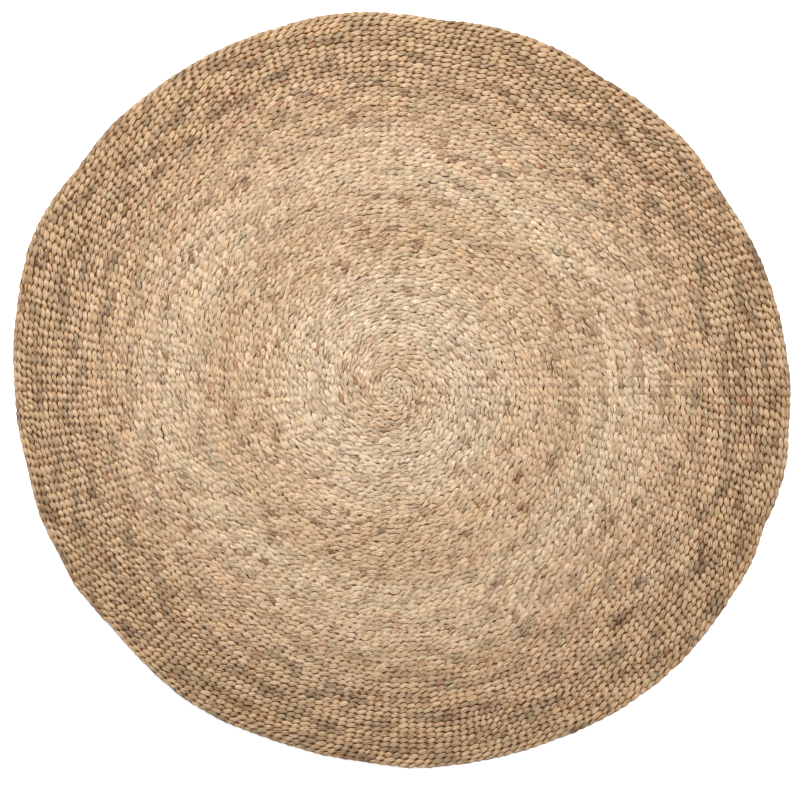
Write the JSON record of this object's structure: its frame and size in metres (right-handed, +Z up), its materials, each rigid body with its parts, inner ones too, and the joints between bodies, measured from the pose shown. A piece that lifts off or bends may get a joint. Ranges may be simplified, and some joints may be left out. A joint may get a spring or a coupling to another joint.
{
  "type": "round woven rug",
  "caption": "Round flat rug of twined water hyacinth stems, wound outward from its centre in raised rows, that lies on a floor.",
  "frame": {"origin": "middle of the rug's box, on its underside", "axes": "+Z up from the floor, +X along the longer width, with the slightly fuller side of the outline towards +X"},
  "size_m": [1.5232, 1.4818, 0.012],
  "materials": {
    "water_hyacinth": "matt dried plant stem, straw to tan, in twined rows"
  },
  "bodies": {
    "root": {"woven_body": "water_hyacinth"}
  },
  "joints": []
}
